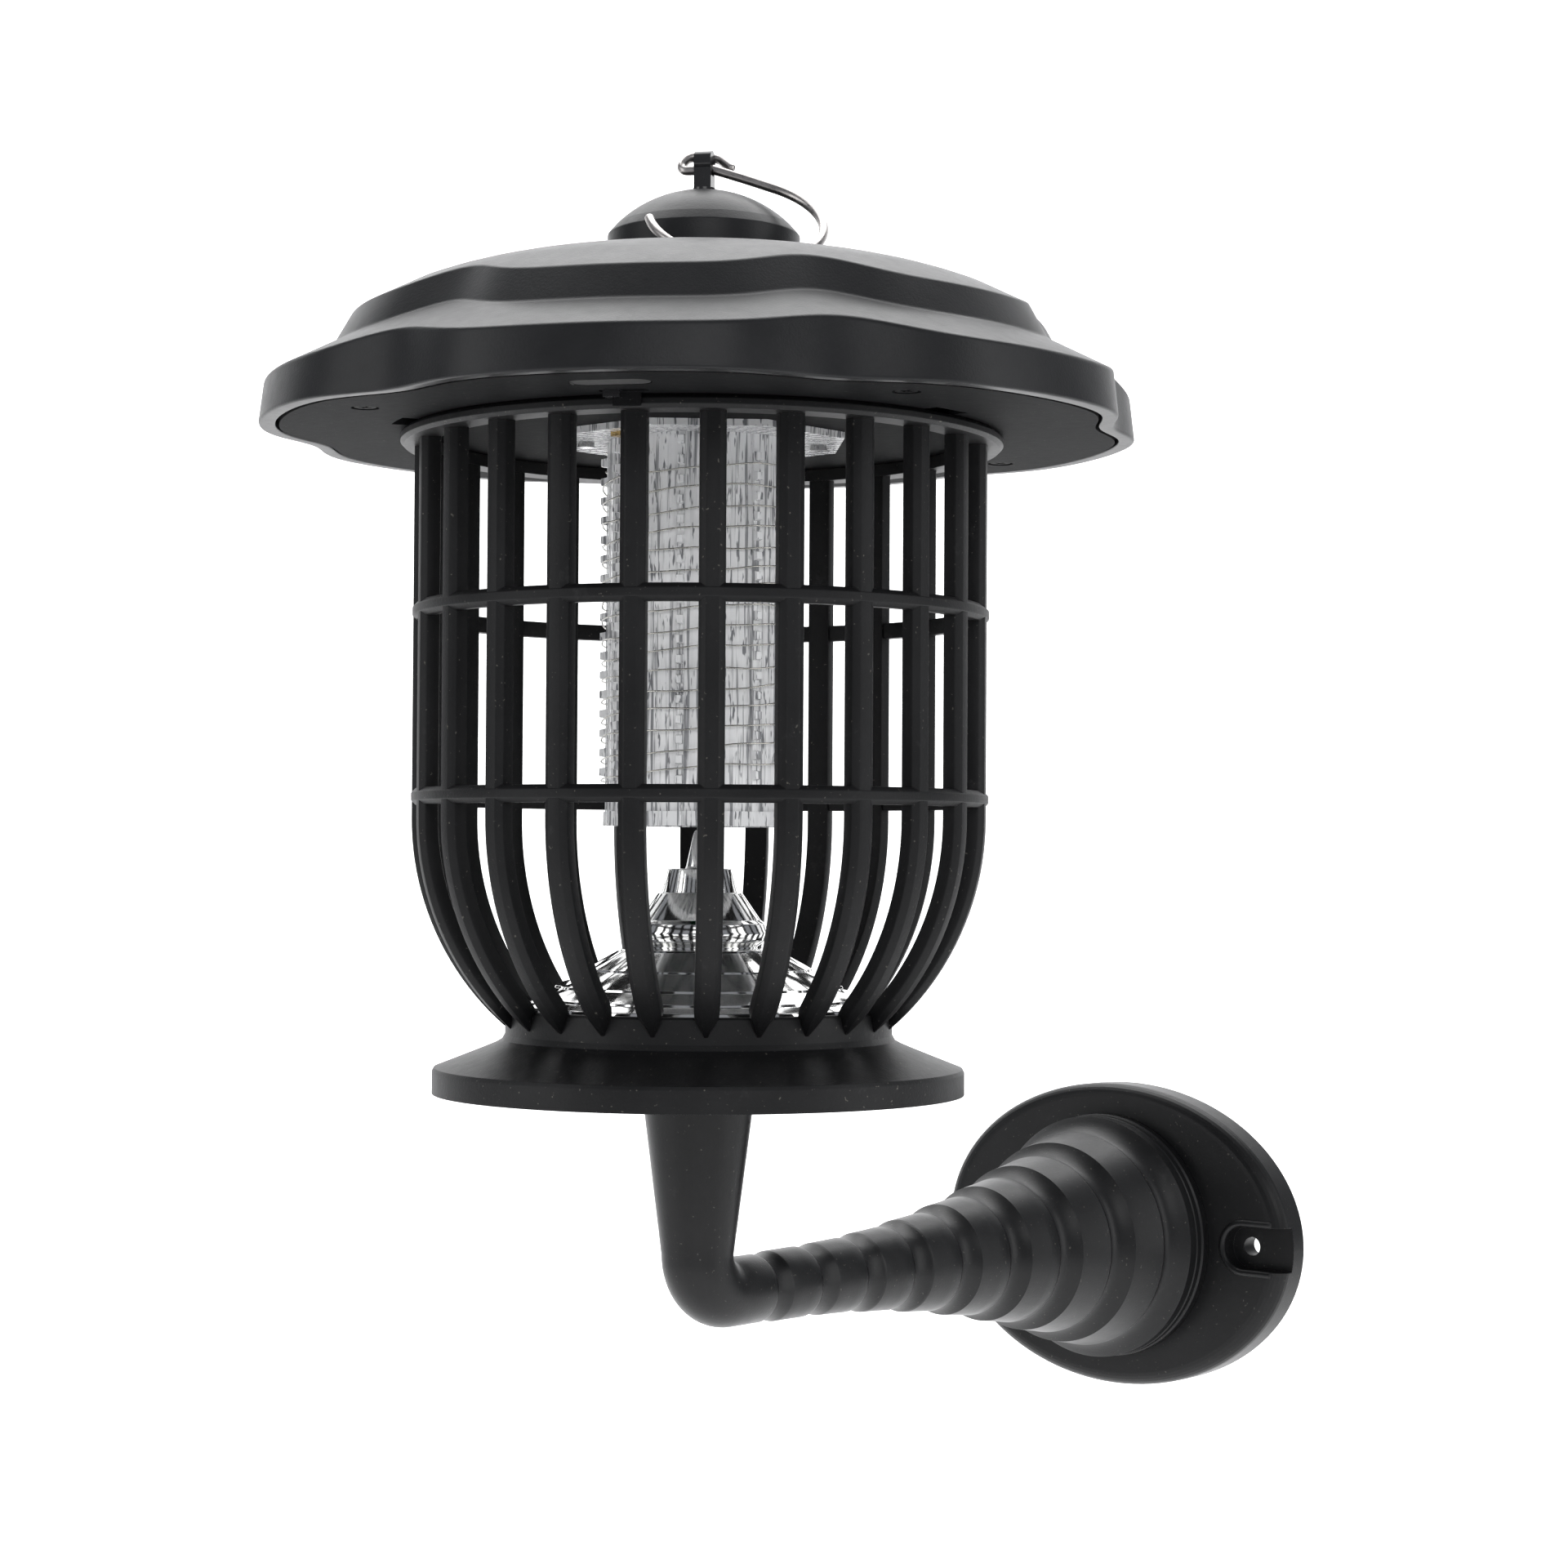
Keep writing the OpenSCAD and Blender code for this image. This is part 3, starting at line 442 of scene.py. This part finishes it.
# Radii of the roof's edges, at the middle of a lobe and in the valley between two lobes.
TIER, TIER_VALLEY = 99.0, 90.5
FOOT, FOOT_VALLEY = 105.0, 96.6
LIP, LIP_VALLEY = 122.7, 115.1
RIM, RIM_VALLEY = 124.2, 116.6
RIM_Z, EAVE_Z, EAVE_SLOPE = 185.0, 206.0, 0.52
PANEL_R = 49.2


def dome(r):
    return DOME_TOP - DOME_DROP * (r / TIER) ** DOME_POWER


def valley(a):
    """1 in the middle of a valley and 0 on a lobe."""
    d = math.degrees(a) % 60
    d = min(d, 60 - d)
    return math.exp(-(d / 10) ** 2)


def lobed(lobe, low, a):
    return lobe - (lobe - low) * valley(a)


def roof_outline(a):
    """The roof's section at an angle: the panel's recess, both tiers, then back below."""
    tier = lobed(TIER, TIER_VALLEY, a)
    foot = lobed(FOOT, FOOT_VALLEY, a)
    lip = lobed(LIP, LIP_VALLEY, a)
    rim = lobed(RIM, RIM_VALLEY, a)
    band = rim - 4.7 + 0.4 * valley(a)

    def eave(r):
        return EAVE_Z + EAVE_SLOPE * (FOOT - r)
    crown = [(r, dome(r)) for r in (55, 60, 65, 70, 75, 80, 85)]
    pts = [(4.2, 225), (27.6, 225), (27.6, 222.8), (PANEL_R, 222.8), (PANEL_R, dome(PANEL_R)),
           *crown, (tier, dome(tier)), (foot - 0.4, eave(foot)), (lip, eave(lip)),
           (rim, RIM_Z), (band, RIM_Z), (band, 190), (band - 4.4, 190),
           (band - 4.4, 198), (111, 200), (92, 200), (tier - 6.6, eave(foot) - 4),
           (tier - 4.6, dome(tier) - 5.6), (75, dome(75) - 2.6), (57.2, dome(57.2) - 2.6),
           (51.2, 220.2), (4.2, 220.2)]
    radii = [0, 0.3, 0.3, 0.4, 0.8] + [0] * len(crown)
    radii += [2.2, 3.2, 2.0, 0.9, 0.5, 0.3, 0.3, 0.3, 0.3, 0.3, 0, 0, 0, 0, 0, 0]
    return fillet(pts, radii, 5)


lathe("roof_shell_form", roof_outline, roof_mat, "head", ["roof_shell"], 360, 40)


def build_finial():
    """A round cap: an upright skirt and a crown that is part of a sphere."""
    skirt_r, inner_r, edge, top, sphere = 27.3, 24.9, 242.6, 255.1, 35.4
    crease_r = 24.8
    crown = []
    for k in range(12):
        a = math.asin(crease_r / sphere) * (1 - k / 12)
        crown.append((sphere * math.sin(a), top - sphere + sphere * math.cos(a)))
    pts = [(inner_r, 225), (skirt_r, 225), (skirt_r, edge - 0.5), *crown,
           (0.6, top), (0.6, top - 3), (inner_r, edge - 4)]
    radii = [0.3, 0.3, 0.9, 0.5] + [0] * (len(pts) - 4)
    lathe("finial_form", fillet(pts, radii, 5), roof_mat, "head", ["finial"],
          192, 35)


build_finial()

# ---- Hook and eyelet ----
HOLE = math.radians(77)
hole_dir = np.array([math.sin(HOLE), -math.cos(HOLE), 0])
behind_dir = np.array([math.cos(HOLE), math.sin(HOLE), 0])
EYE_Z = 261.2
WIRE_R = 1.35


def from_view(p):
    """A point right of, behind and above the flange's centre, seen from the camera's side."""
    c, s = math.cos(VIEW), math.sin(VIEW)
    return np.array([AXIS[0] + c * p[0] - s * p[1], AXIS[1] + s * p[0] + c * p[1], AXIS[2] + p[2]])


def build_hook():
    """A small eye through the eyelet, and a round bend in a tilted plane."""
    eye = [(7.3, 2.6, 261.9), (5.4, 3.5, 263.4), (3.4, 4.4, 264.9), (0.3, 4.75, 265.8),
           (-3.6, 4, 265.9), (-5.3, 3.3, 265.4), (-6.4, 2.3, 264.2), (-6.8, 1.2, 262.7),
           (-6.2, 0.4, 261.6), (-4.8, 0, 261.2), (-2.4, 0, 261.2), (1.9, 0, 261.2)]
    path = [a * hole_dir + b * behind_dir + np.array([0, 0, z]) for a, b, z in eye]
    roll, tilt = math.radians(6.9), math.radians(38.3)
    e1 = np.array([math.cos(roll), 0, -math.sin(roll)])
    e2 = np.array([-math.sin(tilt) * math.sin(roll), -math.cos(tilt),
                   -math.sin(tilt) * math.cos(roll)])
    start = 2.4 * hole_dir + np.array([0, 0, EYE_Z])

    def bend(u, v):
        return start + u * e1 + v * e2

    def on_circle(degrees):
        a = math.radians(degrees)
        return 8.8 + 24.3 * math.cos(a), 29.3 + 24.3 * math.sin(a)
    first, sweep = -69.3, 235.8
    u, v = on_circle(first)
    path += [bend(0.6, 0.15), bend(u * 0.5, v * 0.46)]
    path += [bend(*on_circle(first + sweep * k / 30)) for k in range(31)]
    pts, faces = tube([from_view(p) for p in smooth_path(path, 5)], WIRE_R, 24)
    add_mesh("hook_form", pts, faces, steel_mat, "hook", ["hanging_hook"])


build_hook()

# ---- Cage ----
CAGE_R, CAGE_TOP, BAR_D, CURVE_Z = 81.0, 181.6, 5.2, 77.0
BEND_R, BEND_IN = 77.7, 3.3  # the lower bend's radius, and its centre's distance from the axis
COLLAR_R = 54.5


def build_bars():
    """Twenty-four bars of a rounded wedge section, curving in to pointed ends on the collar."""
    section = fillet([(-1.7, 0), (1.7, 0), (3.45, -1.5), (3.5, -BAR_D), (-3.5, -BAR_D),
                      (-3.45, -1.5)], [0.5, 0.5, 0.6, 0.8, 0.8, 0.6], 2)
    stations = [(CAGE_R, CURVE_Z + (CAGE_TOP - CURVE_Z) * k / 6, 0.0, 1.0)
                for k in range(6, -1, -1)]
    last = math.acos((COLLAR_R - BEND_IN) / BEND_R)
    steps = 22
    for k in range(1, steps + 1):
        a = last * k / steps
        width = 0.3 + 0.7 * min(1.0, BEND_R * (last - a) / 6.5)
        stations.append((BEND_IN + BEND_R * math.cos(a), CURVE_Z - BEND_R * math.sin(a), a, width))
    bars = []
    for bar in range(24):
        out = turn(math.radians(15 * bar))
        across = np.array([-out[1], out[0]])
        rings = []
        for r, z, a, width in stations:
            ring = []
            for sx, sd in section:
                rr = r + sd * math.cos(a)
                zz = z - sd * math.sin(a)
                q = out * rr + across * sx * width
                ring.append((AXIS[0] + q[0], AXIS[1] + q[1], AXIS[2] + zz))
            rings.append(ring)
        bars.append(rod(rings))
    pts, faces = join(bars)
    add_mesh("cage_bars_form", pts, faces, cage_mat, "lantern",
             ["cage_bars", "cage_lower_bars"], 50)


build_bars()


def build_hoop(name, z, node):
    inner, outer, h, cut = 76.7, 81.2, 4.7, 1.3
    outline = fillet([(inner, z), (outer - cut, z), (outer, z + cut), (outer, z + h - cut),
                      (outer - cut, z + h), (inner, z + h)], [0.4] * 6, 2)
    lathe(name, outline, cage_mat, "lantern", [node], 288, 50)


build_hoop("cage_hoop_lower_form", 80.4, "cage_hoop_lower")
build_hoop("cage_hoop_upper_form", 132.2, "cage_hoop_upper")

# ---- Bracket ----
ELBOW_R, ARM_R = 12.0, 9.8
TRUMPET_R, TRUMPET_END, TRUMPET_START, TRUMPET_POWER, STEPS = 39.0, 182.0, 20.0, 2.12, 9
FIRST_CREST, LAST_CREST, CREST_LIP = 180.0, 21.2, 0.35
POST_LOW, POST_HIGH = 10.2, 16.2


def trumpet(w):
    """The arm's radius at a distance from the wall, without its rings."""
    along = (TRUMPET_END - w) / (TRUMPET_END - TRUMPET_START)
    return ARM_R + (TRUMPET_R - ARM_R) * along ** TRUMPET_POWER


def ring_profile():
    """Plain bands, each ending in a hollow that flares up to the next band's crest."""
    pitch = (FIRST_CREST - LAST_CREST) / (STEPS - 1)
    out = [(FIRST_CREST + 7, ARM_R), (FIRST_CREST + 6.5, ARM_R - 0.15),
           (FIRST_CREST + 5.6, ARM_R - 0.6)]
    for i in range(1, 7):
        t = i / 6
        out.append((FIRST_CREST + 5.6 * (1 - t), ARM_R - 0.6 + (CREST_LIP + 0.6) * t ** 1.8))
    for k in range(STEPS - 1):
        w = FIRST_CREST - k * pitch
        first = trumpet(w) + CREST_LIP
        rise = trumpet(w - pitch) + CREST_LIP - first
        band = first + 0.35 * rise
        out += [(w - 0.15, first + 0.02), (w - 0.2 * pitch, first + 0.11 * rise),
                (w - 0.4 * pitch, first + 0.22 * rise), (w - 0.60 * pitch, band),
                (w - 0.625 * pitch, band - 0.12), (w - 0.65 * pitch, band - 0.42)]
        low, high = band - 0.75, first + rise
        for i in range(9):
            t = i / 8
            out.append((w - (0.68 + 0.32 * t) * pitch, low + (high - low) * t ** 1.9))
    return out


def build_arm():
    """Tapered tube, elbow and stepped arm as one skin of round sections."""
    top_z = AXIS[2] + 2
    taper = (POST_HIGH - POST_LOW) / (top_z - ELBOW_R)
    sections = [((0, -REACH, top_z), (0, 1, 0), POST_HIGH - 1.0),
                ((0, -REACH, top_z - 0.3), (0, 1, 0), POST_HIGH - 0.3),
                ((0, -REACH, top_z - 1.0), (0, 1, 0), POST_HIGH - 0.1)]
    for k in range(1, 9):
        z = top_z - 1 - (top_z - 1 - ELBOW_R) * k / 8
        sections.append(((0, -REACH, z), (0, 1, 0), POST_LOW + taper * (z - ELBOW_R)))
    for k in range(1, 17):
        a = math.pi / 2 * k / 16
        c = (0, ELBOW_R - REACH - ELBOW_R * math.cos(a), ELBOW_R - ELBOW_R * math.sin(a))
        sections.append((c, (0, math.cos(a), math.sin(a)),
                         ARM_R + (POST_LOW - ARM_R) * (1 - k / 16)))
    grooved_foot = [(21.0, 39.15), (18.2, 39.2), (17.9, 38.9), (17.4, 38.9), (17.1, 39.25),
                    (15.6, 39.3), (15.3, 39.0), (14.8, 39.0), (14.3, 39.6), (12.2, 39.6),
                    (11.5, 39.4), (11.5, 36)]
    for w, r in [(REACH - ELBOW_R - 2, ARM_R), *ring_profile(), *grooved_foot]:
        sections.append(((0, -w, 0), (0, 0, 1), r))
    n = 160
    rings = []
    for c, e, r in sections:
        c, e = np.array(c, float), np.array(e, float)
        x = np.array([1.0, 0, 0])
        rings.append([c + r * (math.cos(2 * math.pi * k / n) * x
                               + math.sin(2 * math.pi * k / n) * e) for k in range(n)])
    pts, faces = ring_loop(rings, False)
    faces.append(tuple(range(n)))
    add_mesh("bracket_arm_form", pts, faces, arm_mat, "bracket",
             ["bracket_arm"], 24)


def build_plate_lips():
    """The low rounded lip round each screw recess, open to the plate's rim."""
    screw_x, open_x, y, r = 52.5, 62.5, -11.2, 7.9
    lips = []
    for side in (-1, 1):
        path = [(side * open_x, y, r)]
        for k in range(15):
            a = math.pi * k / 14
            path.append((side * (screw_x - r * math.sin(a)), y, r * math.cos(a)))
        path.append((side * open_x, y, -r))
        lips.append(tube(path, 1.15, 12))
    pts, faces = join(lips)
    add_mesh("wall_plate_lips", pts, faces, plate_mat, "bracket")


build_arm()
build_plate_lips()


# ---- Reflector ----
def build_reflector():
    """A stepped cone. Each outside corner is a radius, a height and its rounding."""
    outside = [(0.02, 74, 0), (1.5, 73.8, 0.8), (2.0, 72.2, 1.2), (3.9, 63.6, 0.3),
               (4.2, 63.0, 0.2), (9.1, 63.0, 0.35), (10.9, 56.2, 0.2), (12.1, 56.1, 0.3),
               (17.2, 48.6, 0.8), (18.6, 47.6, 0.8), (19.4, 45, 1.5), (18.6, 42.6, 1.0),
               (16.4, 41.2, 0.3), (16.4, 40.6, 0.2), (22.9, 40.4, 0.3), (23.3, 39.8, 0.2),
               (31.7, 34.9, 0.3), (32, 34.3, 0.2), (40.4, 30.1, 0.3), (40.7, 29.4, 0.2),
               (46.4, 26.7, 0.3), (46.7, 26.0, 0.2), (50.8, 24.6, 0.3), (50.8, 20.4, 0.2)]
    inside = [(49.2, 20.4), (49.2, 23.2), (44.5, 24.8), (39, 27.2), (30, 31.6), (22, 36),
              (15.6, 39.4), (14.8, 44), (10.4, 52.6), (8.6, 56), (7.6, 61), (0.02, 61)]
    outline = fillet([p[:2] for p in outside] + inside,
                     [p[2] for p in outside] + [0] * len(inside), 3)

    def waved(a):
        """The outline at an angle, with waves in the lower steps."""
        wave = 0.988 + 0.012 * math.cos(16 * a)
        return [(r * wave if 22 < r < 50.9 and z > 23.5 else r, z) for r, z in outline]
    lathe("reflector_form", waved, chrome_mat, "lantern",
          ["reflector_cone"], 320, 30)


build_reflector()


def build_wires():
    """Two grid wires wound in the same pitch, each swaying a little as if wound by hand."""
    turns, steps, pitch, wind_r, low = 8.5, 48, 11, 28.1, 82
    for name, lift, node in (("grid_wire_a_form", 0, "hv_wire_a"),
                             ("grid_wire_b_form", 5.5, "hv_wire_b")):
        path = []
        for k in range(int(turns * steps) + 1):
            a = math.radians(31 + 360 * k / steps)
            sway = 0.42 * math.sin(a * 1.31 + lift) + 0.34 * math.sin(a * 3.7 + 2 * lift)
            z = low + lift + pitch * k / steps + sway + 0.16 * math.sin(a * 9.1 + lift)
            path.append((AXIS[0] + wind_r * math.cos(a), AXIS[1] + wind_r * math.sin(a),
                         AXIS[2] + z))
        pts, faces = tube(path, 0.24, 8, False)
        add_mesh(name, pts, faces, wire_mat, "head", [node])


build_wires()

# ---- Materials on the CAD pieces ----
for mat, *names in (
    (plate_mat, "wall_plate"),
    (base_mat, "base", "cage_top_ring"),
    (cover_mat, "under_cover", "battery_holder", "board_standoffs", "switch_body"),
    (rubber_mat, "cover_seal", "port_cover"),
    (gloss_mat, "hook_eyelet", "switch_slider"),
    (screw_mat, "arm_screws", "reflector_screws", "eyelet_washer", "eyelet_nut",
     "battery_contacts", "charge_socket", "column_screws"),
    (dark_screw_mat, "cover_screws"),
    (brass_mat, "threaded_inserts", "hv_terminals"),
    (solar_mat, "solar_panel"),
    (cell_mat, "battery_cell"),
    (board_mat, "control_board", "led_board"),
    (coil_mat, "hv_transformer"),
    (cap_mat, "hv_capacitor"),
    (lamp_mat, "uv_leds"),
    (column_mat, "light_column", "wire_combs"),
    (lead_mat, "battery_leads", "led_leads", "solar_leads"),
):
    for name in names:
        obj = nodes[name]
        if obj.data.materials:
            for s in obj.material_slots:
                s.material = mat
        else:
            obj.data.materials.append(mat)


# ---- Stage and light ----
# Metres from here on. Places are given as right, away and up, seen from the camera's side.
LANTERN_Y, LANTERN_Z, FLOOR_Z = -REACH * MM, 0.19, -0.45


def add_stage():
    """A pale floor that curves up into a backdrop, far from the object."""
    right = np.array([math.cos(VIEW), math.sin(VIEW)])
    away = np.array([-math.sin(VIEW), math.cos(VIEW)])
    quarter = [math.pi / 2 * k / 12 for k in range(13)]
    curve = [(-3.0, 0), *((1.6 + math.sin(a), 1 - math.cos(a)) for a in quarter), (2.6, 4.0)]
    pts, faces = [], []
    for d, h in curve:
        for w in (-4, 4):
            p = away * d + right * w
            pts.append((p[0], p[1] + LANTERN_Y, FLOOR_Z + h))
    for k in range(len(curve) - 1):
        faces.append((2 * k, 2 * k + 1, 2 * k + 3, 2 * k + 2))
    mesh = bpy.data.meshes.new("backdrop")
    mesh.from_pydata(pts, [], faces)
    mesh.polygons.foreach_set("use_smooth", [True] * len(mesh.polygons))
    m = Mat("paper")
    m.set(Base_Color=m.mix(m.noise(4, 2), (0.93, 0.93, 0.93), (0.95, 0.95, 0.95)),
          Roughness=0.9, Specular_IOR_Level=0.1, Emission_Color=(1.0, 1.0, 1.0),
          Emission_Strength=0.5)
    mesh.materials.append(m.m)
    obj = bpy.data.objects.new("backdrop", mesh)
    bpy.context.scene.collection.objects.link(obj)


add_stage()


def area(name, place, target, size, energy, glossy=True):
    """A soft box at a place, turned to a target, both measured from the lantern's middle.

    One that is not glossy lights matt and clear surfaces only.
    """
    data = bpy.data.lights.new(name, "AREA")
    data.shape = "RECTANGLE"
    data.size, data.size_y = size
    data.energy = energy
    obj = bpy.data.objects.new(name, data)
    c, s = math.cos(VIEW), math.sin(VIEW)

    def in_world(p):
        return Vector((c * p[0] - s * p[1], LANTERN_Y + s * p[0] + c * p[1], LANTERN_Z + p[2]))
    obj.location = in_world(place)
    look = in_world(target) - obj.location
    obj.rotation_euler = look.to_track_quat("-Z", "Y").to_euler()
    obj.visible_glossy = glossy
    bpy.context.scene.collection.objects.link(obj)


area("top_box", (0, 0.6, 1.3), (0, 0.1, 0), (1.6, 1.2), 22)
area("left_box", (-1.3, -0.5, 0.35), (0, 0, 0), (0.6, 1.4), 6)
area("right_box", (1.3, -0.4, 0.3), (0.1, 0, 0), (0.6, 1.4), 6)
area("front_box", (0.2, -1.8, 0.8), (0, 0, 0), (1.2, 0.7), 7)
area("soft_front", (0.3, -1.6, 0.35), (0, 0, 0.2), (0.9, 0.9), 13, glossy=False)
area("back_light", (0, 1.0, 1.4), (0, 2.6, 0.3), (2.5, 1.2), 40)

world = bpy.data.worlds.new("studio")
bpy.context.scene.world = world
world.use_nodes = True
background = world.node_tree.nodes["Background"]
background.inputs["Color"].default_value = (0.9, 0.93, 1.0, 1)
background.inputs["Strength"].default_value = 0.25
bpy.context.scene.view_settings.view_transform = "Standard"
